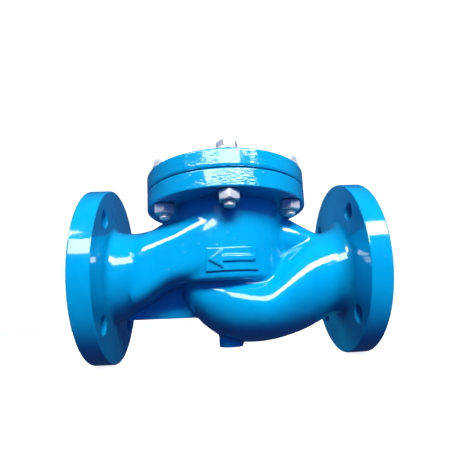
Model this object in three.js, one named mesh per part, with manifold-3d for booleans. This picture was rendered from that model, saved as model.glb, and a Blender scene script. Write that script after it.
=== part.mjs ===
// Flanged globe-pattern lift check valve, DN 65, PN 16.
// Millimetres, +Z up. The pipe axis runs along X. The inlet flange is at +X and the outlet flange at -X.
// Z = 0 is the lowest line of the two round flanges, midway between them.
// Water comes in at +X, drops into the lower bulb, lifts the plug off its seat, fills the upper chamber
// and leaves at -X. When the flow stops, the spring and the plug's own weight shut it.
import * as THREE from 'three';
import { mergeVertices } from 'three/addons/utils/BufferGeometryUtils.js';
import Module from 'manifold-3d';

const wasm = await Module();
wasm.setup();

// ---- driving dimensions -------------------------------------------------------------------------

const FACE_TO_FACE = 290;
const BORE_D = 65;
const FLANGE = { od: 185, thickness: 20.5, raisedD: 118, raisedHeight: 3, pcd: 145, holes: 4, holeD: 18 };
const AXIS_Z = FLANGE.od / 2;                       // height of the pipe axis
const GAP = 0.3;                                    // clearance where two fixed pieces meet

const BONNET_R = 88;                                // radius of the cover and of the body's top flange
const TOP_FLANGE = { bottom: AXIS_Z + 68.5, top: AXIS_Z + 86.5 };
const JOINT_GAP = 1.8;                              // height of the gap that the gasket fills
const COVER_BOTTOM = TOP_FLANGE.top + JOINT_GAP;
const COVER_TOP = AXIS_Z + 106;
const COVER_ROUND = 2;                              // rounding of the cover's upper edge

const CHAMBER_R = 62;                               // outside of the upper chamber
const CHAMBER_BORE_R = 50;
const CHAMBER_BOTTOM = AXIS_Z - 14;                 // underside of the partition that carries the seat
const PARTITION_TOP = AXIS_Z - 2;

const SEAT = { outerR: 41, innerR: BORE_D / 2, bottom: CHAMBER_BOTTOM + 1.5, top: AXIS_Z + 2 };
const PLUG = { discR: 38, discHeight: 12, stemR: 11, stemTop: AXIS_Z + 80, spigotR: 31.5, spigotDepth: 3 };
const BOSS = { outerR: 25, bottom: AXIS_Z + 60, pocketTop: AXIS_Z + 98, spigotDepth: 4 };
const BUSH = { outerR: 15, bottom: AXIS_Z + 61, top: AXIS_Z + 85, clearance: 0.1 };
const SPRING = { meanR: 17, wireR: 1.75, turns: 6, stepsPerTurn: 12, sides: 6 };

const BOLT = { count: 6, pcd: 150, d: 12, holeD: 14, flats: 19, headHeight: 7.5, endChamfer: 1.5 };
const HEX_CHAMFER = { inset: 0.4, outside: 1, slope: 0.58 };  // the cone that turns off a hexagon's corners
const WASHER = { od: 24, id: 13, thickness: 2.5 };
const NUT = { height: 10, boltBeyond: 6 };
const HEAD_TURN = [12, 47, -8, 25, 5, 33];          // each head stops at its own angle, in degrees

const ROUND = 48;                                   // facets round a large circle
const MEDIUM = 32;                                  // facets round the pieces inside
const SMALL = 16;                                   // facets round a small circle

const INLET_X = FACE_TO_FACE / 2;
const RIM_FACE_X = INLET_X - FLANGE.raisedHeight;
const RIM_BACK_X = RIM_FACE_X - FLANGE.thickness;

// ---- materials ----------------------------------------------------------------------------------

const material = (color, roughness, metalness) =>
  new THREE.MeshStandardMaterial({ color, roughness, metalness });
const blueEnamel = () => material(0x008fdc, 0.18, 0.0);
const zincPlate = () => material(0xc4c8cb, 0.32, 1.0);
const stainless = () => material(0xb9b7b0, 0.28, 1.0);
const bronze = () => material(0xa9793a, 0.38, 1.0);
const graphite = () => material(0x2b2c2e, 0.8, 0.0);

// ---- tools --------------------------------------------------------------------------------------

// A closed three.js geometry as a solid that can be joined and cut.
function solid(geometry) {
  const bare = geometry.clone();
  bare.deleteAttribute('normal');
  bare.deleteAttribute('uv');
  const merged = mergeVertices(bare, 1e-4);
  return new wasm.Manifold(new wasm.Mesh({
    numProp: 3,
    vertProperties: new Float32Array(merged.attributes.position.array),
    triVerts: new Uint32Array(merged.index.array),
  }));
}

function geometryOf(shape) {
  const mesh = shape.getMesh();
  const geometry = new THREE.BufferGeometry();
  geometry.setAttribute('position', new THREE.BufferAttribute(mesh.vertProperties, 3));
  geometry.setIndex(new THREE.BufferAttribute(mesh.triVerts, 1));
  geometry.computeVertexNormals();
  return geometry;
}

const join = (shapes) => shapes.reduce((whole, shape) => whole.add(shape));

// Profile points are [radius, height], listed upwards along the outside.
function latheZ(profile, segments = ROUND) {
  const outline = profile.map(([r, z]) => new THREE.Vector2(r, z));
  return new THREE.LatheGeometry(outline, segments).rotateX(Math.PI / 2);
}

function latheX(profile, segments = ROUND) {
  const outline = profile.map(([r, x]) => new THREE.Vector2(r, x));
  return new THREE.LatheGeometry(outline, segments).rotateZ(-Math.PI / 2);
}

const discZ = (radius, bottom, top, segments) =>
  latheZ([[0, bottom], [radius, bottom], [radius, top], [0, top]], segments);

const discX = (radius, low, high, segments) =>
  latheX([[0, low], [radius, low], [radius, high], [0, high]], segments);

const ringZ = (outer, inner, bottom, top, segments) =>
  latheZ([[inner, bottom], [outer, bottom], [outer, top], [inner, top], [inner, bottom]], segments);

const OVAL = { upper: 2, lower: 2 };
const ARCH = { upper: 2.2, lower: 4 };

// A duct that runs along X through upright sections [x, lowest z, highest z, half width]. Heights are
// counted from the pipe axis. Each half of a section is a superellipse with the exponent given: 2 is
// round, and larger is squarer.
function duct(sections, shape = OVAL, segments = 24) {
  const rows = sections.length - 1;
  const geometry = new THREE.CylinderGeometry(1, 1, 1, segments, rows).rotateZ(-Math.PI / 2);
  const point = geometry.attributes.position;
  for (let i = 0; i < point.count; i += 1) {
    const [x, low, high, half] = sections[Math.round((point.getX(i) + 0.5) * rows)];
    const power = 2 / (point.getZ(i) > 0 ? shape.upper : shape.lower);
    const [across, up] = [point.getY(i), point.getZ(i)].map((v) => Math.sign(v) * Math.abs(v) ** power);
    point.setXYZ(i, x, across * half, AXIS_Z + (low + high) / 2 + up * (high - low) / 2);
  }
  return geometry;
}

// A prism whose outline lies in the XZ plane, centred on Y = 0.
function prismY(outline, width) {
  const shape = new THREE.Shape(outline.map(([x, z]) => new THREE.Vector2(x, z)));
  const geometry = new THREE.ExtrudeGeometry(shape, { depth: width, bevelEnabled: false });
  return geometry.rotateX(Math.PI / 2).translate(0, width / 2, 0);
}

function around(count, radius, startDegrees, place) {
  return Array.from({ length: count }, (_, i) => {
    const angle = THREE.MathUtils.degToRad(startDegrees + 360 * i / count);
    return place(radius * Math.cos(angle), radius * Math.sin(angle), i);
  });
}

function hexagon(flats) {
  const corner = flats / Math.sqrt(3);
  return new THREE.Shape(around(6, corner, 0, (x, y) => new THREE.Vector2(x, y)));
}

// A hexagonal block whose corners are turned off by a cone at the ends asked for.
function hexBlock(flats, height, chamferBottom) {
  const block = new THREE.ExtrudeGeometry(hexagon(flats), { depth: height, bevelEnabled: false });
  const wide = flats / Math.sqrt(3) + HEX_CHAMFER.outside;
  const face = flats / 2 - HEX_CHAMFER.inset;
  const slope = (wide - face) * HEX_CHAMFER.slope;
  const turned = [[0, 0]];
  if (chamferBottom) turned.push([face, 0], [wide, slope]);
  else turned.push([wide, 0]);
  turned.push([wide, height - slope], [face, height], [0, height]);
  return solid(block).intersect(solid(latheZ(turned, 24)));
}

// ---- body casting -------------------------------------------------------------------------------

function pipeFlange(side) {
  const rimRound = 1;
  const profile = [
    [0, RIM_BACK_X - 8], [46, RIM_BACK_X - 8], [49, RIM_BACK_X - 2.5], [54, RIM_BACK_X],
    [FLANGE.od / 2 - rimRound, RIM_BACK_X], [FLANGE.od / 2, RIM_BACK_X + rimRound],
    [FLANGE.od / 2, RIM_FACE_X - rimRound], [FLANGE.od / 2 - rimRound, RIM_FACE_X],
    [FLANGE.raisedD / 2, RIM_FACE_X], [FLANGE.raisedD / 2, INLET_X], [0, INLET_X],
  ];
  const geometry = latheX(profile);
  if (side < 0) geometry.rotateZ(Math.PI);
  return geometry.translate(0, 0, AXIS_Z);
}

// The outlet neck is round at the flange. Towards the chamber it grows a flat-sided shoulder and a
// narrower ridge on top.
const OUTLET_NECK = [
  [-122, -50, 50, 50], [-114, -46.5, 47, 46.5], [-101, -42, 46.5, 45.6], [-92, -36.5, 47.5, 45.5],
  [-82, -30, 50, 44], [-70, -21.5, 54, 40], [-58, -13, 58, 34],
];

const OUTLET_SHOULDER = [
  [-103, -38, 40, 42], [-96, -36.5, 44, 45.2], [-88, -33.5, 47, 47], [-79, -28.5, 49.5, 48.2],
  [-70, -22, 52, 49.7], [-61, -16, 55, 51.3], [-50, -14, 60, 53.4], [-36, -14, 70, 56.6],
  [-24, -14, 76, 59.6], [-12, -14, 80, 61.5], [0, -14, 80, 61.5],
];

const OUTLET_RIDGE = [
  [-92, -20, 46, 24], [-82, -12, 51, 27], [-72, -6, 57.5, 29], [-62, 0, 62.5, 30], [-50, 0, 67, 34],
  [-20, 0, 70, 40],
];

const INLET_DUCT = [
  [-51, -24, -8, 10], [-49, -30, -3, 20], [-44, -38, 2, 29], [-36, -49, 4, 37], [-25, -61, 6, 44.5],
  [-8, -71.5, 5, 52.5], [12, -77, 2, 58.5], [32, -76.7, -5, 61.5], [47, -75, 6, 59], [60, -72, 19, 55.7],
  [72, -68.6, 28, 52.8], [83, -64.5, 34, 50.4], [93, -59.5, 37, 48.4], [103, -54.5, 40, 46.8],
  [112, -50, 43, 46.5], [122, -50, 50, 50],
];

// The upper chamber reaches over the inlet neck as a sloping hood.
const HOOD = [
  [0, -14, 70, 50], [36, -10, 70, 38], [46, 0, 68.5, 32], [56, 6, 65, 30], [64, 8, 61, 30],
  [72, 10, 55.5, 29.5], [84, 12, 47.5, 28], [96, 14, 40.5, 25], [106, 16, 38, 19],
];

const OUTLET_HOLLOW = [
  [-146, -32.5, 32.5, 32.5], [-120, -32.5, 32.5, 32.5], [-106, -32, 34, 33], [-92, -26, 38, 36],
  [-79, -18, 43, 39], [-68, -9, 49, 42], [-58, -3, 54, 44], [-40, -2, 58, 45], [-10, -2, 58, 45],
];

const INLET_HOLLOW = [
  [-40, -30, -22, 10], [-36, -38, -17, 24], [-28, -49, -14.5, 36], [-14, -60, -14, 46], [6, -67, -14, 50],
  [30, -67, -14, 49], [46, -65, -12, 46], [58, -62, -6, 43], [72, -58, 3, 40], [86, -52, 13, 37.5],
  [100, -43, 22, 35], [112, -35, 30, 33], [122, -32.5, 32.5, 32.5], [146, -32.5, 32.5, 32.5],
];

const HOOD_HOLLOW = [
  [20, -2, 60, 38], [45, 0, 58, 33], [56, 10, 55, 28], [66, 18, 50, 23], [76, 26, 43, 15],
];

// Web under the outlet neck, and the small foot boss under the bulb.
const WEB = [[-121, -47.5], [-34, -48], [-34, -10], [-62, -10], [-100, -36], [-121, -40]]
  .map(([x, z]) => [x, AXIS_Z + z]);
const WEB_WIDTH = 9;
const FOOT = { x: -1, r: 13, bottom: AXIS_Z - 80.5, top: AXIS_Z - 60 };

// Flow arrow cast on a plate on each side of the upper chamber, pointing at the outlet.
const ARROW = { z: 6, tail: 23, tip: -22, half: 3, headHalf: 9, headLength: 14, proud: 3.4 };
const PLATE = { left: -25, right: 26, bottom: -5.5, top: 17.5, proud: 1.4 };

function raisedMark(outline, side, proud) {
  const depth = 30;
  const placed = outline.map(([x, z]) => [x, AXIS_Z + z]);
  const block = solid(prismY(placed, depth).translate(0, side * (CHAMBER_R - depth / 2 + 5), 0));
  return block.intersect(solid(discZ(CHAMBER_R + proud, AXIS_Z - 20, AXIS_Z + 30)));
}

function flowArrow(side) {
  const { z, tail, tip, half, headHalf, headLength } = ARROW;
  const neck = tip + headLength;
  const arrow = [
    [tip, z], [neck, z - headHalf], [neck, z - half], [tail, z - half], [tail, z + half], [neck, z + half],
    [neck, z + headHalf],
  ];
  const { left, right, bottom, top } = PLATE;
  const plate = [[left, bottom], [right, bottom], [right, top], [left, top]];
  return raisedMark(plate, side, PLATE.proud).add(raisedMark(arrow, side, ARROW.proud));
}

function bodyOutside() {
  return join([
    solid(pipeFlange(1)),
    solid(pipeFlange(-1)),
    solid(latheZ([
      [0, CHAMBER_BOTTOM], [CHAMBER_R - 5, CHAMBER_BOTTOM], [CHAMBER_R - 1.5, CHAMBER_BOTTOM + 1.5],
      [CHAMBER_R, CHAMBER_BOTTOM + 5], [CHAMBER_R, TOP_FLANGE.bottom - 2],
      [CHAMBER_R + 1.5, TOP_FLANGE.bottom],
      [BONNET_R - 1, TOP_FLANGE.bottom], [BONNET_R, TOP_FLANGE.bottom + 1], [BONNET_R, TOP_FLANGE.top],
      [0, TOP_FLANGE.top],
    ])),
    solid(duct(OUTLET_NECK)),
    solid(duct(OUTLET_SHOULDER, ARCH)),
    solid(duct(OUTLET_RIDGE)),
    solid(duct(INLET_DUCT)),
    solid(duct(HOOD)),
    solid(prismY(WEB, WEB_WIDTH)),
    solid(discZ(FOOT.r, FOOT.bottom, FOOT.top, SMALL).translate(FOOT.x, 0, 0)),
    flowArrow(-1),
    flowArrow(1),
  ]);
}

function bodyHollow() {
  const flangeHoles = [-1, 1].flatMap((side) =>
    around(FLANGE.holes, FLANGE.pcd / 2, 45, (y, z) => {
      const hole = discX(FLANGE.holeD / 2, -20, 20, SMALL);
      return solid(hole.translate(side * (RIM_FACE_X + RIM_BACK_X) / 2, y, AXIS_Z + z));
    }));
  const boltHoles = around(BOLT.count, BOLT.pcd / 2, -90, (x, y) =>
    solid(discZ(BOLT.holeD / 2, TOP_FLANGE.bottom - 5, TOP_FLANGE.top + 5, SMALL).translate(x, y, 0)));
  return join([
    solid(duct(OUTLET_HOLLOW)),
    solid(duct(INLET_HOLLOW)),
    solid(duct(HOOD_HOLLOW)),
    solid(discZ(CHAMBER_BORE_R, PARTITION_TOP, TOP_FLANGE.top + 5)),
    solid(discZ(SEAT.outerR, CHAMBER_BOTTOM - 6, PARTITION_TOP + 5)),
    ...flangeHoles,
    ...boltHoles,
  ]);
}

// The partition's ledge that the seat ring stands on.
function seatLedge() {
  return solid(ringZ(SEAT.outerR + 2, SEAT.innerR + 2, CHAMBER_BOTTOM - 4, SEAT.bottom - GAP));
}

const bodyCasting = () => geometryOf(bodyOutside().subtract(bodyHollow()).add(seatLedge()));

// ---- pieces inside ------------------------------------------------------------------------------

function seatRing() {
  const outer = SEAT.outerR - GAP;
  return latheZ([
    [SEAT.innerR, SEAT.bottom], [outer, SEAT.bottom], [outer, SEAT.top], [outer - 3, SEAT.top],
    [SEAT.innerR + 1.5, SEAT.top], [SEAT.innerR, SEAT.top - 1.5], [SEAT.innerR, SEAT.bottom],
  ], MEDIUM);
}

// Disc with a shallow spigot that centres it in the seat, and a guide stem on top.
function valvePlug() {
  const face = SEAT.top + GAP;
  const back = face + PLUG.discHeight;
  return latheZ([
    [0, face - PLUG.spigotDepth], [PLUG.spigotR - 3, face - PLUG.spigotDepth], [PLUG.spigotR - 1, face],
    [PLUG.discR, face], [PLUG.discR, back - 3], [PLUG.discR - 2, back - 1], [SPRING.meanR + 5, back - 1],
    [SPRING.meanR + 5, back - 4], [PLUG.stemR + 1, back - 4], [PLUG.stemR, back - 3],
    [PLUG.stemR, PLUG.stemTop - 1.5], [PLUG.stemR - 1.5, PLUG.stemTop], [0, PLUG.stemTop],
  ], MEDIUM);
}

// The spring stands in the groove on the plug's back and pushes on the cover's boss.
class Coil extends THREE.Curve {
  constructor(bottom, top) {
    super();
    this.bottom = bottom;
    this.top = top;
  }

  getPoint(t, target = new THREE.Vector3()) {
    const angle = 2 * Math.PI * SPRING.turns * t;
    const height = this.bottom + (this.top - this.bottom) * t;
    return target.set(SPRING.meanR * Math.cos(angle), SPRING.meanR * Math.sin(angle), height);
  }
}

function closingSpring() {
  const low = SEAT.top + GAP + PLUG.discHeight - 4 + GAP + SPRING.wireR + 0.2;
  const high = BOSS.bottom - GAP - SPRING.wireR - 0.2;
  const wire = new THREE.Shape(around(SPRING.sides, SPRING.wireR, 0, (x, y) => new THREE.Vector2(x, y)));
  return new THREE.ExtrudeGeometry(wire, {
    steps: SPRING.turns * SPRING.stepsPerTurn,
    extrudePath: new Coil(low, high),
    bevelEnabled: false,
  });
}

// ---- cover --------------------------------------------------------------------------------------

function bonnetCover() {
  const spigotR = CHAMBER_BORE_R - 0.5;
  const spigotBottom = COVER_BOTTOM - JOINT_GAP - BOSS.spigotDepth;
  const outside = solid(latheZ([
    [0, BOSS.bottom], [BOSS.outerR - 2, BOSS.bottom], [BOSS.outerR, BOSS.bottom + 2],
    [BOSS.outerR, spigotBottom - 5], [BOSS.outerR + 5, spigotBottom], [spigotR - 1, spigotBottom],
    [spigotR, spigotBottom + 1], [spigotR, COVER_BOTTOM], [BONNET_R, COVER_BOTTOM],
    [BONNET_R, COVER_TOP - COVER_ROUND], [BONNET_R - 0.3 * COVER_ROUND, COVER_TOP - 0.3 * COVER_ROUND],
    [BONNET_R - COVER_ROUND, COVER_TOP], [0, COVER_TOP],
  ]));
  const pocket = solid(latheZ([
    [0, BOSS.bottom - 5], [BUSH.outerR, BOSS.bottom - 5], [BUSH.outerR, BUSH.top + GAP],
    [PLUG.stemR + 1.5, BUSH.top + GAP], [PLUG.stemR + 1.5, BOSS.pocketTop], [0, BOSS.pocketTop],
  ], MEDIUM));
  const holes = around(BOLT.count, BOLT.pcd / 2, -90, (x, y) =>
    solid(discZ(BOLT.holeD / 2, COVER_BOTTOM - 5, COVER_TOP + 5, SMALL).translate(x, y, 0)));
  return geometryOf(outside.subtract(pocket).subtract(join(holes)));
}

function guideBush() {
  const inner = PLUG.stemR + BUSH.clearance;
  const outer = BUSH.outerR - GAP;
  return latheZ([
    [inner, BUSH.bottom + 1], [inner + 1, BUSH.bottom], [outer, BUSH.bottom], [outer, BUSH.top],
    [inner, BUSH.top], [inner, BUSH.bottom + 1],
  ], MEDIUM);
}

const bonnetGasket = () =>
  ringZ(64, CHAMBER_BORE_R + 1, TOP_FLANGE.top + GAP, COVER_BOTTOM - GAP, MEDIUM);

// ---- fasteners ----------------------------------------------------------------------------------

const HEAD_BOTTOM = COVER_TOP + WASHER.thickness + 2 * GAP;
const NUT_TOP = TOP_FLANGE.bottom - GAP;
const BOLT_END = NUT_TOP - NUT.height - NUT.boltBeyond;

// The bolt is drawn about its own axis with the underside of its head at zero.
function bonnetBolt() {
  const head = hexBlock(BOLT.flats, BOLT.headHeight, false);
  const length = HEAD_BOTTOM - BOLT_END;
  const r = BOLT.d / 2;
  const shank = solid(latheZ([
    [0, -length], [r - BOLT.endChamfer, -length], [r, BOLT.endChamfer - length], [r, 1], [0, 1],
  ], SMALL));
  return geometryOf(head.add(shank));
}

function bonnetNut() {
  const bore = solid(discZ(BOLT.d / 2 + GAP, -5, NUT.height + 5, SMALL));
  return geometryOf(hexBlock(BOLT.flats, NUT.height, true).subtract(bore));
}

const bonnetWasher = () =>
  ringZ(WASHER.od / 2, WASHER.id / 2, COVER_TOP + GAP, COVER_TOP + GAP + WASHER.thickness, SMALL);

// ---- assembly -----------------------------------------------------------------------------------

const valve = new THREE.Group();

function add(name, geometry, finish, place = [0, 0, 0], turnDegrees = 0) {
  const mesh = new THREE.Mesh(geometry, finish);
  mesh.name = name;
  mesh.position.set(...place);
  mesh.rotation.z = THREE.MathUtils.degToRad(turnDegrees);
  valve.add(mesh);
}

add('body_casting', bodyCasting(), blueEnamel());
add('seat_ring', seatRing(), stainless());
add('valve_plug', valvePlug(), stainless());
add('closing_spring', closingSpring(), stainless());
add('guide_bush', guideBush(), bronze());
add('bonnet_cover', bonnetCover(), blueEnamel());
add('bonnet_gasket', bonnetGasket(), graphite());

around(BOLT.count, BOLT.pcd / 2, -90, (x, y, i) => {
  const outwards = -90 + 360 * i / BOLT.count;
  add(`bonnet_bolt_${i + 1}`, bonnetBolt(), zincPlate(), [x, y, HEAD_BOTTOM], outwards + 30 + HEAD_TURN[i]);
  add(`bonnet_nut_${i + 1}`, bonnetNut(), zincPlate(), [x, y, NUT_TOP - NUT.height], outwards);
  add(`bonnet_washer_${i + 1}`, bonnetWasher(), zincPlate(), [x, y, 0]);
});

export default valve;
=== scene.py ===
import math

import bpy
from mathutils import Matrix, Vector


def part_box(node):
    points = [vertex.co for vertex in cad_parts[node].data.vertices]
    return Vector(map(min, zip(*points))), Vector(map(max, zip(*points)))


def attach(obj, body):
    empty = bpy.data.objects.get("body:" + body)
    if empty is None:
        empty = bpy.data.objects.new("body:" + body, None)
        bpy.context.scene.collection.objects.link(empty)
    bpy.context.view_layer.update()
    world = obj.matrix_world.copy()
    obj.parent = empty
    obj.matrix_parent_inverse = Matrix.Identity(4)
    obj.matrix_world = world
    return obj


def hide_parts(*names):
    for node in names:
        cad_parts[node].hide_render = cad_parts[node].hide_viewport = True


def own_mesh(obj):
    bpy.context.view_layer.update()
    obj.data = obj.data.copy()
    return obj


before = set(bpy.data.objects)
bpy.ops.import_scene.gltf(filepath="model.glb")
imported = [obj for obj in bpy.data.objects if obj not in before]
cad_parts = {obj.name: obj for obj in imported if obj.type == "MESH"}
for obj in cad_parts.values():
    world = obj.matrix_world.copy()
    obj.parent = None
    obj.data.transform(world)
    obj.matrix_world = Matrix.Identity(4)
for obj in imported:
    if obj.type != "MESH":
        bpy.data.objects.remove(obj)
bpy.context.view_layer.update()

# The valve in metres, +Z up, the pipe along X. Heights given as "about the pipe" are counted from
# the pipe axis.
MM = 0.001
body_low, body_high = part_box("body_casting")
cover_low, cover_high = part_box("bonnet_cover")
PIPE_Z = (body_low.z + body_high.z) / 2
FLANGE_R = (body_high.z - body_low.z) / 2
FACE_X = body_high.x
RIM_FACE_X = FACE_X - 3 * MM
RIM_BACK_X = RIM_FACE_X - 20.5 * MM
RAISED_R = 59 * MM
BORE_R = 32.5 * MM
TOP_R = cover_high.x
TOP_FLANGE_LOW = PIPE_Z + 68.5 * MM
TOP_FLANGE_HIGH = PIPE_Z + 86.5 * MM
CHAMBER_R = 62 * MM
CHAMBER_LOW = PIPE_Z - 14 * MM
CHAMBER_BORE_R = 50 * MM
PARTITION_TOP = PIPE_Z - 2 * MM
SEAT_R = 41 * MM
BOLT_CIRCLE_R = 75 * MM
BOLT_HOLE_R = 7 * MM
PIPE_BOLT_CIRCLE_R = 72.5 * MM
PIPE_BOLT_HOLE_R = 9 * MM
BOLTS = 6


# ---- modelling tools ----------------------------------------------------------------------------

SAME_PLACE = 0.001 * MM
CHAMFER = 0.8 * MM
SECTION_SMOOTHING = 2

# Where the points that hold the flats straight lie, counted in lengths from corner to arc.
HOLD = 1.4


def let_go():
    """Object mode, nothing selected."""
    if bpy.context.object and bpy.context.object.mode != "OBJECT":
        bpy.ops.object.mode_set(mode="OBJECT")
    bpy.ops.object.select_all(action="DESELECT")


def pick(piece):
    let_go()
    piece.select_set(True)
    bpy.context.view_layer.objects.active = piece


def settle(piece):
    """The piece's place goes into its mesh."""
    pick(piece)
    bpy.ops.object.transform_apply(location=True, rotation=True, scale=True)
    return piece


def edit(piece, select="SELECT"):
    pick(piece)
    bpy.ops.object.mode_set(mode="EDIT")
    bpy.ops.mesh.select_all(action=select)


def apply(piece, kind, **settings):
    """Adds a modifier and makes it part of the mesh."""
    pick(piece)
    modifier = piece.modifiers.new(kind.lower(), kind)
    for key, value in settings.items():
        setattr(modifier, key, value)
    bpy.ops.object.modifier_apply(modifier=modifier.name)
    return piece


def boolean(piece, tool, how):
    """Uses the tool up."""
    apply(piece, "BOOLEAN", object=tool, operation=how, solver="MANIFOLD")
    bpy.data.objects.remove(tool)
    return piece


def cut(piece, tool):
    return boolean(piece, tool, "DIFFERENCE")


def add(piece, tool):
    return boolean(piece, tool, "UNION")


def fuse(name, pieces):
    """Several closed shells as one mesh."""
    let_go()
    for piece in pieces:
        piece.select_set(True)
    bpy.context.view_layer.objects.active = pieces[0]
    bpy.ops.object.join()
    pieces[0].name = name
    return pieces[0]


def outwards(piece):
    edit(piece)
    bpy.ops.mesh.remove_doubles(threshold=SAME_PLACE)
    bpy.ops.mesh.normals_make_consistent(inside=False)
    let_go()
    return piece


def smooth(piece, degrees=35):
    pick(piece)
    bpy.ops.object.shade_smooth_by_angle(angle=math.radians(degrees))
    return piece


def select_vertices(piece, wanted):
    """Selects the vertices that a test on their place picks. Edit mode, as before."""
    bpy.ops.object.mode_set(mode="OBJECT")
    for vertex in piece.data.vertices:
        vertex.select = wanted(vertex.co)
    bpy.ops.object.mode_set(mode="EDIT")


def turned(name, outline, steps=96, along="Z", place=(0, 0, 0)):
    """An outline of (radius, height) points spun once round. The last point closes on the first."""
    def point(radius, height):
        return Vector((radius, 0, height)) if along == "Z" else Vector((height, 0, radius))

    let_go()
    bpy.ops.mesh.primitive_plane_add(size=MM)
    piece = bpy.context.object
    piece.name = name
    edit(piece)
    bpy.ops.mesh.merge(type="CENTER")
    bpy.ops.transform.translate(value=point(*outline[0]))
    closed = outline + ([] if outline[0][0] == 0 else [outline[0]])
    for before, after in zip(closed, closed[1:]):
        step = point(*after) - point(*before)
        bpy.ops.mesh.extrude_vertices_move(TRANSFORM_OT_translate={"value": step})
    bpy.ops.mesh.select_all(action="SELECT")
    axis = (0, 0, 1) if along == "Z" else (1, 0, 0)
    bpy.ops.mesh.spin(steps=steps, angle=math.tau, center=(0, 0, 0), axis=axis)
    outwards(piece)
    piece.location = place
    return settle(piece)


def rounded(outline, radius, steps=3):
    """The outline with each corner off the axis turned into a small arc. A point just outside each
    end of the arc holds the flat beside it straight."""
    result = []
    for i, (r, h) in enumerate(outline):
        if r == 0:
            result.append((r, h))
            continue
        corner = Vector((r, h))
        to_before = Vector(outline[i - 1]) - corner
        to_after = Vector(outline[(i + 1) % len(outline)]) - corner
        reach = min(radius, to_before.length / 3, to_after.length / 3)
        start = corner + to_before.normalized() * reach
        end = corner + to_after.normalized() * reach
        result.append(tuple(corner + to_before.normalized() * reach * HOLD))
        for k in range(steps + 1):
            t = k / steps
            result.append(tuple(start.lerp(corner, t).lerp(corner.lerp(end, t), t)))
        result.append(tuple(corner + to_after.normalized() * reach * HOLD))
    return result


def disc(name, radius, low, high, steps=64, along="Z", place=(0, 0, 0)):
    return turned(name, [(0, low), (radius, low), (radius, high), (0, high)], steps, along, place)


def hole_tool(name, radius, low, high, along="Z", place=(0, 0, 0), chamfer=CHAMFER):
    """A cutter for a through hole with a small chamfer at both mouths."""
    wide = radius + chamfer
    beyond = 3 * MM
    outline = [
        (0, low - beyond), (wide + beyond, low - beyond), (wide, low), (radius, low + chamfer),
        (radius, high - chamfer), (wide, high), (wide + beyond, high + beyond), (0, high + beyond)]
    return turned(name, outline, 40, along, place)


def oval(sides=32):
    """A round section of radius 1 mm that faces along X."""
    bpy.ops.mesh.primitive_circle_add(
        vertices=sides, radius=MM, fill_type="NGON", rotation=(0, math.pi / 2, 0))


def arch():
    """A section 2 mm wide and high that faces along X: round above, upright sides, a flat underside
    with rounded corners."""
    bpy.ops.mesh.primitive_plane_add(size=2 * MM, rotation=(0, math.pi / 2, 0))
    piece = bpy.context.object
    settle(piece)

    # The side (1 above, -1 below), how far its corners are cut back in mm, and in how many steps.
    for sign, reach, steps in ((1, 0.9, 8), (-1, 0.42, 5)):
        edit(piece, "DESELECT")
        select_vertices(piece, lambda place, sign=sign: place.z * sign > 0.99 * MM)
        bpy.ops.mesh.bevel(offset=reach * MM, segments=steps, affect="VERTICES")
        let_go()
    pick(piece)


def duct(name, sections, section=oval):
    """A closed duct along X through upright sections (x, lowest z, highest z, half width),
    in millimetres about the pipe."""
    def centre(section):
        x, low, high, _ = section
        return Vector((x * MM, 0, PIPE_Z + (low + high) / 2 * MM))

    def spread(section):
        _, low, high, half = section
        return Vector((1, half, (high - low) / 2))

    let_go()
    first = sections[0]
    section()
    piece = bpy.context.object
    piece.name = name
    piece.location = centre(first)
    settle(piece)
    edit(piece)
    bpy.ops.transform.resize(value=spread(first), center_override=centre(first))
    for before, after in zip(sections, sections[1:]):
        step = centre(after) - centre(before)
        bpy.ops.mesh.extrude_region_move(TRANSFORM_OT_translate={"value": step})
        a, b = spread(before), spread(after)
        bpy.ops.transform.resize(value=(1, b.y / a.y, b.z / a.z), center_override=centre(after))
    outwards(piece)
    return apply(piece, "SUBSURF", levels=SECTION_SMOOTHING, render_levels=SECTION_SMOOTHING)


def slab(name, outline, width):
    """A flat plate whose outline lies in the XZ plane, centred on Y = 0."""
    let_go()
    bpy.ops.mesh.primitive_plane_add(size=MM)
    piece = bpy.context.object
    piece.name = name
    edit(piece)
    bpy.ops.mesh.merge(type="CENTER")
    points = [Vector((x, -width / 2, z)) for x, z in outline]
    bpy.ops.transform.translate(value=points[0])
    for before, after in zip(points, points[1:] + points[:1]):
        bpy.ops.mesh.extrude_vertices_move(TRANSFORM_OT_translate={"value": after - before})
    bpy.ops.mesh.select_all(action="SELECT")
    bpy.ops.mesh.remove_doubles(threshold=SAME_PLACE)
    bpy.ops.mesh.edge_face_add()
    bpy.ops.mesh.extrude_region_move(TRANSFORM_OT_translate={"value": (0, width, 0)})
    return outwards(piece)


def around(count, radius, start_degrees=-90):
    """The number and place of each of the holes or pieces on a circle."""
    for i in range(count):
        angle = math.radians(start_degrees + 360 * i / count)
        yield i, radius * math.cos(angle), radius * math.sin(angle)


def copy_of(piece, name, place, turn_degrees=0):
    """A copy with its own mesh, turned about Z and moved into place."""
    twin = piece.copy()
    twin.data = piece.data.copy()
    twin.name = name
    bpy.context.scene.collection.objects.link(twin)
    twin.rotation_euler.z = math.radians(turn_degrees)
    twin.location = place
    return settle(twin)


def finish_piece(piece, material, body, node, degrees=35):
    smooth(piece, degrees)
    if material:
        piece.data.materials.clear()
        piece.data.materials.append(material)
    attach(piece, body)
    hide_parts(node)
    return piece


# ---- materials ----------------------------------------------------------------------------------

def new_material(name):
    material = bpy.data.materials.new(name)
    material.use_nodes = True
    nodes = material.node_tree.nodes
    links = material.node_tree.links
    shader = nodes["Principled BSDF"]
    place = nodes.new("ShaderNodeTexCoord").outputs["Object"]
    return material, nodes, links, shader, place


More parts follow.
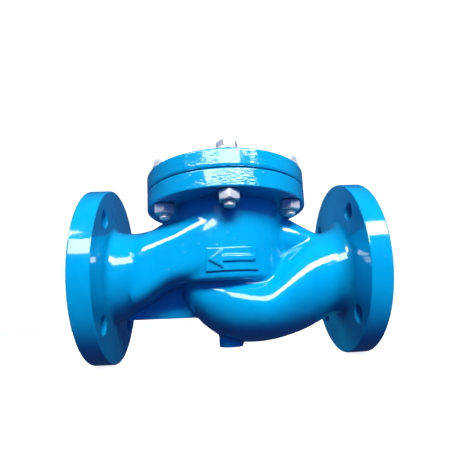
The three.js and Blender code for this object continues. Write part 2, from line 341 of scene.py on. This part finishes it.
def noise(nodes, links, vector, scale, detail):
    node = nodes.new("ShaderNodeTexNoise")
    node.inputs["Scale"].default_value = scale
    node.inputs["Detail"].default_value = detail
    links.new(vector, node.inputs["Vector"])
    return node


def ramp(nodes, links, factor, stops):
    node = nodes.new("ShaderNodeValToRGB")
    links.new(factor, node.inputs["Fac"])
    elements = node.color_ramp.elements
    while len(elements) < len(stops):
        elements.new(0.5)
    for element, (position, colour) in zip(elements, stops):
        element.position = position
        element.color = (*colour, 1)
    return node


def grey(value):
    return (value, value, value)


def bump(nodes, links, height, distance, before=None):
    """Relief of the given depth, laid over the relief before it."""
    node = nodes.new("ShaderNodeBump")
    node.inputs["Strength"].default_value = 1
    node.inputs["Distance"].default_value = distance
    links.new(height, node.inputs["Height"])
    if before is not None:
        links.new(before.outputs["Normal"], node.inputs["Normal"])
    return node


def blue_enamel(name):
    """Thick glossy enamel over a sand casting: long waves, a fine skin, a few dust nibs, and on the
    cover and its flange patches of wrinkles that run level."""
    material, nodes, links, shader, place = new_material(name)
    shade = noise(nodes, links, place, 35, 3)
    colour = ramp(nodes, links, shade.outputs["Fac"], [(0.3, ENAMEL_DEEP), (0.7, ENAMEL_BRIGHT)])
    links.new(colour.outputs["Color"], shader.inputs["Base Color"])
    gloss = noise(nodes, links, place, 90, 2)
    rough = ramp(nodes, links, gloss.outputs["Fac"], [(0.35, grey(0.07)), (0.75, grey(0.16))])
    links.new(rough.outputs["Color"], shader.inputs["Roughness"])
    waves = noise(nodes, links, place, 45, 1)
    fine = noise(nodes, links, place, 420, 1)
    nibs = noise(nodes, links, place, 300, 0)
    specks = ramp(nodes, links, nibs.outputs["Fac"], [(0.80, grey(0)), (0.83, grey(1))])
    first = bump(nodes, links, waves.outputs["Fac"], WAVES[name])
    second = bump(nodes, links, fine.outputs["Fac"], SKIN, first)
    level = nodes.new("ShaderNodeMapping")
    level.inputs["Scale"].default_value = (0.45, 0.45, 1)
    links.new(place, level.inputs["Vector"])
    wrinkles = noise(nodes, links, level.outputs["Vector"], 520, 2)
    spread = noise(nodes, links, place, 75, 2)
    where = ramp(nodes, links, spread.outputs["Fac"], [(0.46, grey(0)), (0.54, grey(WRINKLED[name]))])
    third = bump(nodes, links, wrinkles.outputs["Fac"], WRINKLES, second)
    links.new(where.outputs["Color"], third.inputs["Strength"])
    last = bump(nodes, links, specks.outputs["Color"], NIBS, third)
    links.new(last.outputs["Normal"], shader.inputs["Normal"])
    shader.inputs["IOR"].default_value = 1.52
    shader.inputs["Coat Weight"].default_value = 1.0
    shader.inputs["Coat Roughness"].default_value = 0.04
    links.new(last.outputs["Normal"], shader.inputs["Coat Normal"])
    return material


def bright_metal(name, dark, light, gloss, grain=300, depth=0.03 * MM, metallic=1.0):
    """Bare or plated metal with a fine uneven skin. Gloss is its least and greatest roughness."""
    material, nodes, links, shader, place = new_material(name)
    shade = noise(nodes, links, place, 140, 3)
    colour = ramp(nodes, links, shade.outputs["Fac"], [(0.3, dark), (0.7, light)])
    links.new(colour.outputs["Color"], shader.inputs["Base Color"])
    rough = ramp(nodes, links, shade.outputs["Fac"], [(0.3, grey(gloss[1])), (0.7, grey(gloss[0]))])
    links.new(rough.outputs["Color"], shader.inputs["Roughness"])
    skin = noise(nodes, links, place, grain, 2)
    relief = bump(nodes, links, skin.outputs["Fac"], depth)
    links.new(relief.outputs["Normal"], shader.inputs["Normal"])
    shader.inputs["Metallic"].default_value = metallic
    return material


def turned_face(name):
    """Bare machined iron with the fine concentric grooves of a facing cut round the pipe axis."""
    material, nodes, links, shader, place = new_material(name)
    split = nodes.new("ShaderNodeSeparateXYZ")
    links.new(place, split.inputs["Vector"])
    height = nodes.new("ShaderNodeMath")
    height.operation = "SUBTRACT"
    links.new(split.outputs["Z"], height.inputs[0])
    height.inputs[1].default_value = PIPE_Z
    across = nodes.new("ShaderNodeCombineXYZ")
    links.new(split.outputs["Y"], across.inputs["X"])
    links.new(height.outputs["Value"], across.inputs["Y"])
    radius = nodes.new("ShaderNodeVectorMath")
    radius.operation = "LENGTH"
    links.new(across.outputs["Vector"], radius.inputs[0])
    grooves = nodes.new("ShaderNodeMath")
    grooves.operation = "PINGPONG"
    links.new(radius.outputs["Value"], grooves.inputs[0])
    grooves.inputs[1].default_value = GROOVE_FLANK
    shade = noise(nodes, links, place, 60, 4)
    colour = ramp(nodes, links, shade.outputs["Fac"], [(0.3, IRON_DARK), (0.7, IRON_LIGHT)])
    links.new(colour.outputs["Color"], shader.inputs["Base Color"])
    relief = bump(nodes, links, grooves.outputs["Value"], GROOVE_DEPTH)
    links.new(relief.outputs["Normal"], shader.inputs["Normal"])
    shader.inputs["Metallic"].default_value = 0.4
    shader.inputs["Roughness"].default_value = 0.4
    return material


def graphite_sheet(name):
    """Dull fibrous sheet."""
    material, nodes, links, shader, place = new_material(name)
    fibre = noise(nodes, links, place, 500, 3)
    colour = ramp(nodes, links, fibre.outputs["Fac"], [(0.3, grey(0.02)), (0.7, grey(0.055))])
    links.new(colour.outputs["Color"], shader.inputs["Base Color"])
    relief = bump(nodes, links, fibre.outputs["Fac"], 0.05 * MM)
    links.new(relief.outputs["Normal"], shader.inputs["Normal"])
    shader.inputs["Roughness"].default_value = 0.75
    return material


ENAMEL_DEEP = (0.000, 0.290, 0.545)
ENAMEL_BRIGHT = (0.000, 0.335, 0.610)
IRON_DARK = (0.40, 0.40, 0.39)
IRON_LIGHT = (0.52, 0.52, 0.505)

# A turned groove is two flanks wide, and its depth is a share of one flank's width.
GROOVE_FLANK = 0.4 * MM
GROOVE_DEPTH = 0.12

# How deep each relief in the enamel is. The turned rims are flatter than the cast skin, and only
# the cover and its flange are wrinkled.
WAVES = {"blue_enamel": 0.45 * MM, "rim_enamel": 0.10 * MM, "cover_enamel": 0.10 * MM}
WRINKLED = {"blue_enamel": 0, "rim_enamel": 0, "cover_enamel": 1}
WRINKLES = 0.40 * MM
SKIN = 0.03 * MM
NIBS = 0.10 * MM

enamel = blue_enamel("blue_enamel")
rim_enamel = blue_enamel("rim_enamel")
cover_enamel = blue_enamel("cover_enamel")
zinc = bright_metal("zinc_plate", (0.60, 0.60, 0.59), (0.74, 0.74, 0.73), (0.28, 0.42), metallic=0.35)
stainless = bright_metal(
    "stainless", (0.50, 0.49, 0.47), (0.64, 0.63, 0.61), (0.2, 0.3), grain=600, depth=0.01 * MM)
bronze = bright_metal(
    "bronze", (0.45, 0.28, 0.11), (0.60, 0.38, 0.16), (0.25, 0.4), grain=500, depth=0.015 * MM)
machined_iron = turned_face("machined_iron")
graphite = graphite_sheet("graphite")


# ---- body casting -------------------------------------------------------------------------------

VOXEL = 1.5 * MM
CORE_SMOOTHING = 16
WEB_SMOOTHING = 5

# The ducts below are rows of upright sections (x, lowest z, highest z, half width), and the flat
# outlines are rows of (x, z), all in millimetres about the pipe.
OUTLET_NECK = [
    (-126, -53, 53, 53), (-120, -49.5, 50, 50), (-114, -47.5, 48, 47.5), (-108, -45.5, 47, 46.3),
    (-101, -42, 46.5, 45.6), (-92, -36.5, 47.5, 45.5), (-82, -30, 50, 44), (-70, -21.5, 54, 40),
    (-58, -13, 58, 34)]
OUTLET_SHOULDER = [
    (-103, -38, 40, 42), (-96, -36.5, 44, 45.2), (-88, -33.5, 47, 47), (-79, -28.5, 49.5, 48.2),
    (-70, -22, 52, 49.7), (-61, -16, 55, 51.3), (-50, -14, 60, 53.4), (-36, -14, 71, 56.6),
    (-24, -14, 78, 59.6), (-12, -14, 82, 62), (0, -14, 82, 62)]
OUTLET_RIDGE = [
    (-92, -20, 46, 24), (-82, -12, 51, 27), (-72, -6, 57.5, 29), (-62, 0, 62.5, 30),
    (-50, 0, 67, 34), (-20, 0, 70, 40)]
INLET_NECK = [
    (-51, -24, -8, 10), (-49, -30, -3, 20), (-44, -38, 2, 29), (-36, -49, 4, 37), (-25, -61, 6, 44.5),
    (-8, -71.5, 5, 52.5), (12, -77, 2, 58.5), (32, -76.7, -5, 61.5), (47, -75, 6, 59), (60, -72, 19, 55.7),
    (72, -68.6, 28, 52.8), (83, -64.5, 34, 50.4), (93, -59.5, 37, 48.4), (103, -54.5, 40, 46.8),
    (112, -50, 42.5, 46.5), (120, -50, 48, 49), (126, -54, 54, 54)]
HOOD = [
    (0, -14, 70, 50), (36, -10, 70, 38), (46, 0, 68.5, 32), (56, 6, 65, 30), (64, 8, 61, 30),
    (72, 10, 55.5, 29.5), (84, 12, 47.5, 28), (96, 14, 40.5, 25), (106, 16, 38, 19)]
OUTLET_HOLLOW = [
    (-150, -32.5, 32.5, 32.5), (-120, -32.5, 32.5, 32.5), (-106, -32, 34, 33), (-92, -26, 38, 36),
    (-79, -18, 43, 39), (-68, -9, 49, 42), (-58, -3, 54, 44), (-40, -2, 58, 45), (-10, -2, 58, 45)]
INLET_HOLLOW = [
    (-40, -30, -22, 10), (-36, -38, -17, 24), (-28, -49, -14.5, 36), (-14, -60, -14, 46), (6, -67, -14, 50),
    (30, -67, -14, 49), (46, -65, -12, 46), (58, -62, -6, 43), (72, -58, 3, 40), (86, -52, 13, 37.5),
    (100, -43, 22, 35), (112, -35, 30, 33), (122, -32.5, 32.5, 32.5), (150, -32.5, 32.5, 32.5)]
HOOD_HOLLOW = [(20, -2, 60, 38), (45, 0, 58, 33), (56, 10, 55, 28), (66, 18, 50, 23), (76, 26, 43, 15)]
WEB = [(-121, -47.5), (-34, -48), (-34, -10), (-62, -10), (-100, -36), (-121, -40)]
WEB_WIDTH = 9 * MM
FOOT_X = -1 * MM
FOOT_R = 13 * MM
FOOT_LOW = PIPE_Z - 80.5 * MM
FOOT_HIGH = PIPE_Z - 60 * MM
ROOT_R = 68 * MM
RIM_ROUND = 1.2 * MM
SEAT_BORE_LOW = CHAMBER_LOW - 6 * MM
PLATE = [(-25, -5.5), (26, -5.5), (26, 17.5), (-25, 17.5)]
ARROW = [(-22, 6), (-8, -3), (-8, 3), (23, 3), (23, 9), (-8, 9), (-8, 15)]
PLATE_HEIGHT = 2.0 * MM
ARROW_HEIGHT = 4.2 * MM
ARROW_VOXEL = 0.6 * MM
ARROW_SMOOTHING = 16
ENAMEL_SLOT, IRON_SLOT, RIM_SLOT, COVER_SLOT = range(4)


def chamber():
    """The upright cylinder under the cover flange, with its bottom corner rounded."""
    edge = 4 * MM
    top = TOP_FLANGE_LOW + 6 * MM
    return turned("chamber", [
        (0, CHAMBER_LOW), (CHAMBER_R - edge, CHAMBER_LOW),
        (CHAMBER_R - edge / 3, CHAMBER_LOW + edge / 3), (CHAMBER_R, CHAMBER_LOW + edge),
        (CHAMBER_R, top), (0, top)])


def about_pipe(outline):
    return [(x * MM, PIPE_Z + z * MM) for x, z in outline]


def casting_core():
    """Necks, bulb, hood and chamber flow into each other with wide fillets. The web and the foot
    are added next, with tighter ones."""
    core = fuse("body_enamelled", [
        duct("outlet", OUTLET_NECK), duct("shoulder", OUTLET_SHOULDER, arch), duct("ridge", OUTLET_RIDGE),
        duct("inlet", INLET_NECK), duct("hood", HOOD), chamber(), flange_root(1), flange_root(-1)])
    apply(core, "REMESH", mode="VOXEL", voxel_size=VOXEL)
    apply(core, "SMOOTH", factor=0.5, iterations=CORE_SMOOTHING)
    web = slab("web", about_pipe(WEB), WEB_WIDTH)
    foot = disc("foot", FOOT_R, FOOT_LOW, FOOT_HIGH, 48, place=(FOOT_X, 0, 0))
    fuse("body_enamelled", [core, web, foot])
    apply(core, "REMESH", mode="VOXEL", voxel_size=VOXEL)
    apply(core, "SMOOTH", factor=0.5, iterations=WEB_SMOOTHING)
    return core


def flange_root(side):
    """The middle of the flange's back, which the neck runs into with a wide fillet. It lies a hair
    inside the flange."""
    low, high = sorted((side * (RIM_BACK_X + 0.05 * MM), side * (RIM_BACK_X + 8 * MM)))
    return disc("flange_root", ROOT_R, low, high, 96, "X", (0, 0, PIPE_Z))


def pipe_flange(side):
    """The rim with its raised face."""
    outline = rounded([
        (0, RIM_BACK_X), (FLANGE_R, RIM_BACK_X), (FLANGE_R, RIM_FACE_X),
        (RAISED_R + 1 * MM, RIM_FACE_X), (RAISED_R, FACE_X), (0, FACE_X)], RIM_ROUND)
    outline = [(radius, side * x) for radius, x in outline]
    return turned("pipe_flange", outline, 128, "X", (0, 0, PIPE_Z))


def cover_flange():
    """The flange on the chamber that the cover bolts to."""
    inside = CHAMBER_R - 8 * MM
    outline = rounded([
        (inside, TOP_FLANGE_LOW), (TOP_R, TOP_FLANGE_LOW), (TOP_R, TOP_FLANGE_HIGH),
        (inside, TOP_FLANGE_HIGH)], RIM_ROUND)
    return turned("cover_flange", outline, 128)


def flow_arrow(side):
    """An arrow on a plate, both cast proud of the chamber's side with soft edges."""
    depth = 30 * MM
    levels = []
    for outline, height in ((PLATE, PLATE_HEIGHT), (ARROW, ARROW_HEIGHT)):
        block = slab("mark", about_pipe(outline), depth)
        block.location.y = side * (CHAMBER_R - depth / 2 + 5 * MM)
        skin = disc("mark_skin", CHAMBER_R + height, PIPE_Z - 20 * MM, PIPE_Z + 30 * MM, 128)
        levels.append(boolean(settle(block), skin, "INTERSECT"))
    mark = fuse("arrow", levels)
    apply(mark, "REMESH", mode="VOXEL", voxel_size=ARROW_VOXEL)
    return apply(mark, "SMOOTH", factor=0.5, iterations=ARROW_SMOOTHING)


def body_casting():
    body = casting_core()
    add(body, pipe_flange(1))
    add(body, pipe_flange(-1))
    add(body, cover_flange())
    for side in (-1, 1):
        add(body, flow_arrow(side))
    for sections in (OUTLET_HOLLOW, INLET_HOLLOW, HOOD_HOLLOW):
        cut(body, duct("hollow", sections))
    cut(body, disc("bonnet_bore", CHAMBER_BORE_R, PARTITION_TOP, TOP_FLANGE_HIGH + 5 * MM, 96))
    cut(body, disc("seat_bore", SEAT_R, SEAT_BORE_LOW, PARTITION_TOP + 5 * MM, 96))
    for _, x, y in around(BOLTS, BOLT_CIRCLE_R):
        place = (x, y, 0)
        cut(body, hole_tool("bolt_hole", BOLT_HOLE_R, TOP_FLANGE_LOW, TOP_FLANGE_HIGH, place=place))
    for side in (-1, 1):
        low, high = sorted((side * RIM_BACK_X, side * RIM_FACE_X))
        for _, y, z in around(4, PIPE_BOLT_CIRCLE_R, 45):
            place = (0, y, PIPE_Z + z)
            cut(body, hole_tool("flange_hole", PIPE_BOLT_HOLE_R, low, high, "X", place))
    return body


def paint(body):
    """Enamel all over, but for the raised faces."""
    body.data.materials.clear()
    for skin in (enamel, machined_iron, rim_enamel, cover_enamel):
        body.data.materials.append(skin)
    for face in body.data.polygons:
        out = abs(face.center.x)
        if out > FACE_X - 0.1 * MM and abs(face.normal.x) > 0.99:
            face.material_index = IRON_SLOT
        elif out > RIM_BACK_X + 0.5 * MM:
            face.material_index = RIM_SLOT
        elif face.center.z > TOP_FLANGE_LOW + 0.5 * MM:
            face.material_index = COVER_SLOT
        else:
            face.material_index = ENAMEL_SLOT
    return body


finish_piece(paint(body_casting()), None, "valve", "body_casting")


# ---- cover --------------------------------------------------------------------------------------

COVER_LOW = TOP_FLANGE_HIGH + 1.8 * MM
COVER_HIGH = cover_high.z
BOSS_LOW = cover_low.z
BOSS_R = 25 * MM
BUSH_R = 15 * MM
BUSH_HIGH = PIPE_Z + 85.3 * MM
POCKET_R = 12.5 * MM
POCKET_HIGH = PIPE_Z + 98 * MM


def bonnet_cover():
    """A thick lid with a spigot that enters the chamber and a boss that holds the guide bush."""
    spigot_r = CHAMBER_BORE_R - 0.5 * MM
    spigot_low = TOP_FLANGE_HIGH - 4 * MM
    edge = 2 * MM
    outline = rounded([
        (0, BOSS_LOW), (BOSS_R, BOSS_LOW), (BOSS_R, spigot_low), (spigot_r, spigot_low),
        (spigot_r, COVER_LOW), (TOP_R, COVER_LOW)], 1 * MM)[:-1]

    # The upper edge is rounded more widely, on an outline of its own. What that outline repeats of
    # the lower edge is left out.
    top = rounded([(TOP_R, COVER_LOW), (TOP_R, COVER_HIGH), (0, COVER_HIGH)], edge, 5)
    repeated = 5
    cover = turned("cover_enamelled", outline + top[repeated:], 128)
    cut(cover, disc("bush_bore", BUSH_R, BOSS_LOW - 5 * MM, BUSH_HIGH, 64))
    cut(cover, disc("stem_pocket", POCKET_R, BUSH_HIGH - 5 * MM, POCKET_HIGH, 48))
    for _, x, y in around(BOLTS, BOLT_CIRCLE_R):
        cut(cover, hole_tool("bolt_hole", BOLT_HOLE_R, COVER_LOW, COVER_HIGH, place=(x, y, 0)))
    return cover


finish_piece(bonnet_cover(), cover_enamel, "valve", "bonnet_cover")


# ---- fasteners ----------------------------------------------------------------------------------

BOLT_R = 6 * MM
FLATS = 19 * MM
HEAD_HEIGHT = 7.5 * MM
NUT_HEIGHT = 10 * MM
PITCH = 1.75 * MM
THREAD_DEPTH = 0.7 * MM
THREAD_LENGTH = 32 * MM
THREAD_CHAMFER = 0.45 * MM
CREST_STARTS = 0.42
CREST_ENDS = 0.55
SHANK_CLEARANCE = 0.1 * MM
EDGE = 0.3 * MM
WASHER_R = 12 * MM
WASHER_BORE_R = 6.5 * MM

# The domed end of a bolt: how far in from the thread's root, and how far up from the tip.
DOME = [(1.8 * MM, 0.15 * MM), (0.7 * MM, 0.6 * MM), (0, 1.3 * MM)]
DOME_HEIGHT = DOME[-1][1]

head_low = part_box("bonnet_bolt_1")[1].z - HEAD_HEIGHT
bolt_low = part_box("bonnet_bolt_1")[0].z
nut_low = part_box("bonnet_nut_1")[0].z
washer_low, washer_high = (corner.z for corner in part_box("bonnet_washer_1"))

# How far tightening left each head turned from the nut below it, in degrees.
HEAD_TURN = (42, 77, 22, 55, 35, 63)


def hexagon(name, height, chamfer_low, chamfer_high):
    """A hexagonal block whose corners are turned off by a 30 degree cone at the ends asked for."""
    corner = FLATS / math.sqrt(3)
    let_go()
    bpy.ops.mesh.primitive_cylinder_add(
        vertices=6, radius=corner, depth=height, location=(0, 0, height / 2),
        rotation=(0, 0, math.pi / 6))
    block = bpy.context.object
    block.name = name
    settle(block)
    wide = corner + 1 * MM
    face = FLATS / 2 - 0.5 * MM
    drop = (wide - face) * math.tan(math.radians(30))
    low = [(face, 0), (wide, drop)] if chamfer_low else [(wide, 0)]
    high = [(wide, height - drop), (face, height)] if chamfer_high else [(wide, height)]
    boolean(block, turned("cone", [(0, 0), *low, *high, (0, height)], 72), "INTERSECT")
    return block


def threaded_rod(low, high, thread_high):
    """A bolt shank. Its thread is a row of grooves, and the first crest is chamfered."""
    root = BOLT_R - THREAD_DEPTH
    outline = [(0, low)] + [(root - inwards, low + up) for inwards, up in DOME]
    crests = int((thread_high - low) / PITCH) - 1
    for i in range(crests):
        z = low + DOME_HEIGHT + i * PITCH
        crest = BOLT_R - (THREAD_CHAMFER if i == 0 else 0)
        outline += [
            (crest, z + CREST_STARTS * PITCH), (crest, z + CREST_ENDS * PITCH), (root, z + PITCH)]
    plain = BOLT_R - SHANK_CLEARANCE
    outline += [(plain, low + (crests + 0.5) * PITCH + DOME_HEIGHT), (plain, high), (0, high)]
    return turned("shank", outline, 32)


def soften_edges(piece):
    return apply(
        piece, "BEVEL", width=EDGE, segments=2, limit_method="ANGLE", angle_limit=math.radians(25))


def bolt_pattern():
    """A bolt that stands on Z = 0 by the underside of its head."""
    head = soften_edges(hexagon("bolt", HEAD_HEIGHT, False, True))
    add(head, disc("washer_face", FLATS / 2 - 0.3 * MM, -0.4 * MM, 1 * MM, 48))
    length = head_low - bolt_low
    add(head, threaded_rod(-length, 1 * MM, THREAD_LENGTH - length))
    return head


def nut_pattern():
    """A nut that stands on Z = 0."""
    nut = soften_edges(hexagon("nut", NUT_HEIGHT, True, True))
    return cut(nut, hole_tool("nut_bore", BOLT_R + 0.15 * MM, 0, NUT_HEIGHT, chamfer=0.9 * MM))


def washer_pattern():
    """A flat washer at its own height, about the Z axis."""
    return turned("washer", rounded([
        (WASHER_BORE_R, washer_low), (WASHER_R, washer_low), (WASHER_R, washer_high),
        (WASHER_BORE_R, washer_high)], 0.4 * MM, 2), 64)


def fasteners():
    bolt, nut, washer = bolt_pattern(), nut_pattern(), washer_pattern()
    for i, x, y in around(BOLTS, BOLT_CIRCLE_R):
        outward = -90 + 360 * i / BOLTS
        number = i + 1
        one = copy_of(bolt, f"bolt_{number}", (x, y, head_low), outward + HEAD_TURN[i])
        finish_piece(one, zinc, "valve", f"bonnet_bolt_{number}", 30)
        one = copy_of(nut, f"nut_{number}", (x, y, nut_low), outward)
        finish_piece(one, zinc, "valve", f"bonnet_nut_{number}", 30)
        one = copy_of(washer, f"washer_{number}", (x, y, 0))
        finish_piece(one, zinc, "valve", f"bonnet_washer_{number}")
    for piece in (bolt, nut, washer):
        bpy.data.objects.remove(piece)


fasteners()


# ---- pieces inside ------------------------------------------------------------------------------

WIRE_R = 1.75 * MM
COIL_R = 17 * MM
COIL_TURNS = 6
STEM_R = 11 * MM
PLUG_R = 38 * MM
SPIGOT_R = 31 * MM
SPRING_SEAT_R = 22 * MM
GASKET_R = 64 * MM


def height_of(node):
    low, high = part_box(node)
    return low.z, high.z


def seat_ring():
    """The ring that the plug closes on."""
    low, high = height_of("seat_ring")
    outer, inner = SEAT_R - 0.3 * MM, BORE_R
    return turned("seat_ring_turned", rounded([
        (inner, low), (outer, low), (outer, high), (inner, high)], 1.2 * MM, 4), 96)


def valve_plug():
    """A disc with a spigot below, a spring groove in its back and a guide stem on top."""
    low, high = height_of("valve_plug")
    face, back = low + 3 * MM, low + 14 * MM
    groove = back - 3 * MM
    return turned("plug_turned", rounded([
        (0, low), (SPIGOT_R - 2.5 * MM, low), (SPIGOT_R, face), (PLUG_R, face), (PLUG_R, back),
        (SPRING_SEAT_R, back), (SPRING_SEAT_R, groove), (STEM_R, groove), (STEM_R, high),
        (0, high)], 1 * MM, 4), 96)


def closing_spring():
    """A round wire wound up in a coil, its ends closed."""
    low, high = height_of("closing_spring")
    let_go()
    bpy.ops.mesh.primitive_circle_add(
        vertices=16, radius=WIRE_R, location=(COIL_R, 0, low + WIRE_R), rotation=(math.pi / 2, 0, 0))
    spring = bpy.context.object
    spring.name = "spring_wound"
    settle(spring)
    steps = 36 * COIL_TURNS
    apply(
        spring, "SCREW", angle=math.tau * COIL_TURNS, screw_offset=high - low - 2 * WIRE_R,
        steps=steps, render_steps=steps)
    edit(spring)
    bpy.ops.mesh.fill_holes(sides=0)
    return outwards(spring)


def guide_bush():
    """The sleeve in the cover that guides the plug's stem."""
    low, high = height_of("guide_bush")
    inner, outer = STEM_R + 0.1 * MM, BUSH_R - 0.3 * MM
    return turned("bush_turned", rounded([
        (inner, low), (outer, low), (outer, high), (inner, high)], 0.8 * MM), 64)


def bonnet_gasket():
    """The flat ring between the cover and its flange."""
    low, high = height_of("bonnet_gasket")
    inner, outer = CHAMBER_BORE_R + 1 * MM, GASKET_R
    return turned("gasket_sheet", rounded([
        (inner, low), (outer, low), (outer, high), (inner, high)], 0.2 * MM), 96)


finish_piece(seat_ring(), stainless, "valve", "seat_ring")
finish_piece(valve_plug(), stainless, "plug", "valve_plug")
finish_piece(guide_bush(), bronze, "valve", "guide_bush")
finish_piece(bonnet_gasket(), graphite, "valve", "bonnet_gasket")
spring = finish_piece(closing_spring(), stainless, "valve", "closing_spring")
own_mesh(spring)


# ---- stage --------------------------------------------------------------------------------------

LIGHTS_AIM = Vector((0, 0, 0.12))
BACKDROP_R = 3
FLOOR_Z = -0.0005


def camera():
    """Low and close in front of the valve, looking slightly up."""
    data = bpy.data.cameras.new("camera")
    data.lens = 28.39
    data.shift_x = -0.0071
    data.shift_y = 0.0559
    rig = bpy.data.objects.new("camera", data)
    rig.location = (-0.01743, -0.40217, 0.04499)
    rig.rotation_euler = [math.radians(turn) for turn in (99.26, 2.67, -2.83)]
    bpy.context.scene.collection.objects.link(rig)
    bpy.context.scene.camera = rig


def softbox(name, azimuth, elevation, distance, width, height, power):
    """An area light that faces the valve. Azimuth 0 is in front of it, and 90 is at +X. Angles are
    in degrees, sizes in metres and power in watts."""
    a, e = math.radians(azimuth), math.radians(elevation)
    away = Vector((math.sin(a) * math.cos(e), -math.cos(a) * math.cos(e), math.sin(e)))
    data = bpy.data.lights.new(name, "AREA")
    data.shape = "RECTANGLE"
    data.size, data.size_y = width, height
    data.energy = power
    lamp = bpy.data.objects.new(name, data)
    lamp.location = LIGHTS_AIM + away * distance
    lamp.rotation_euler = (-away).to_track_quat("-Z", "Y").to_euler()
    bpy.context.scene.collection.objects.link(lamp)
    return lamp


def studio_world():
    """A dim blue room, a little lighter overhead, which the gloss mirrors between the lights."""
    world = bpy.data.worlds.new("studio")
    bpy.context.scene.world = world
    world.use_nodes = True
    nodes, links = world.node_tree.nodes, world.node_tree.links
    place = nodes.new("ShaderNodeTexCoord")
    split = nodes.new("ShaderNodeSeparateXYZ")
    links.new(place.outputs["Generated"], split.inputs["Vector"])
    height = nodes.new("ShaderNodeMapRange")
    height.inputs["From Min"].default_value = -1
    links.new(split.outputs["Z"], height.inputs["Value"])
    sky = ramp(nodes, links, height.outputs["Result"], [
        (0.0, (0.02, 0.04, 0.10)), (0.40, (0.01, 0.03, 0.11)), (0.52, (0.012, 0.05, 0.16)),
        (0.66, (0.03, 0.07, 0.22)), (1.0, (0.04, 0.09, 0.26))])
    links.new(sky.outputs["Color"], nodes["Background"].inputs["Color"])
    nodes["Background"].inputs["Strength"].default_value = 1.0


def plain_white(name, strength):
    """A matt white that also glows."""
    material = bpy.data.materials.new(name)
    material.use_nodes = True
    shader = material.node_tree.nodes["Principled BSDF"]
    shader.inputs["Base Color"].default_value = (0.85, 0.85, 0.85, 1)
    shader.inputs["Roughness"].default_value = 0.9
    shader.inputs["Emission Color"].default_value = (1, 1, 1, 1)
    shader.inputs["Emission Strength"].default_value = strength
    return material


def backdrop():
    """A pale floor under the valve and a pale dome round it. They catch shadows and fill the view,
    and the gloss doesn't mirror them."""
    let_go()
    bpy.ops.mesh.primitive_circle_add(
        vertices=64, radius=BACKDROP_R, fill_type="NGON", location=(0, 0, FLOOR_Z))
    floor = bpy.context.object
    floor.name = "floor"
    floor.data.materials.append(plain_white("floor_white", 0.85))
    let_go()
    bpy.ops.mesh.primitive_uv_sphere_add(segments=48, ring_count=24, radius=BACKDROP_R)
    dome = bpy.context.object
    dome.name = "dome"
    dome.data.materials.append(plain_white("dome_white", 1.0))
    dome.visible_shadow = False
    for thing in (floor, dome):
        thing.visible_diffuse = False
        thing.visible_glossy = False


def lights():
    """Three lights only make the highlights, and three others only light the paint."""
    shine = [
        softbox("key_softbox", -5.4, 30, 1.5, 1.18, 0.47, 15.4),
        softbox("right_softbox", 28, 35.5, 1.5, 0.62, 0.40, 12),
        softbox("left_softbox", -46, 39, 1.5, 0.48, 0.32, 6)]
    for lamp in shine:
        lamp.visible_diffuse = False
    overhead = softbox("overhead_shade", 6, 38, 1.6, 0.9, 0.5, 49)
    low = softbox("low_fill", 10, 4, 1.6, 1.6, 0.8, 7)
    low.data.color = (0.12, 0.25, 1.0)
    back = softbox("back_fill", 200, 24, 1.6, 1.0, 0.8, 26)
    for lamp in (overhead, low, back):
        lamp.visible_glossy = False


camera()
studio_world()
backdrop()
lights()
bpy.context.scene.view_settings.view_transform = "Standard"
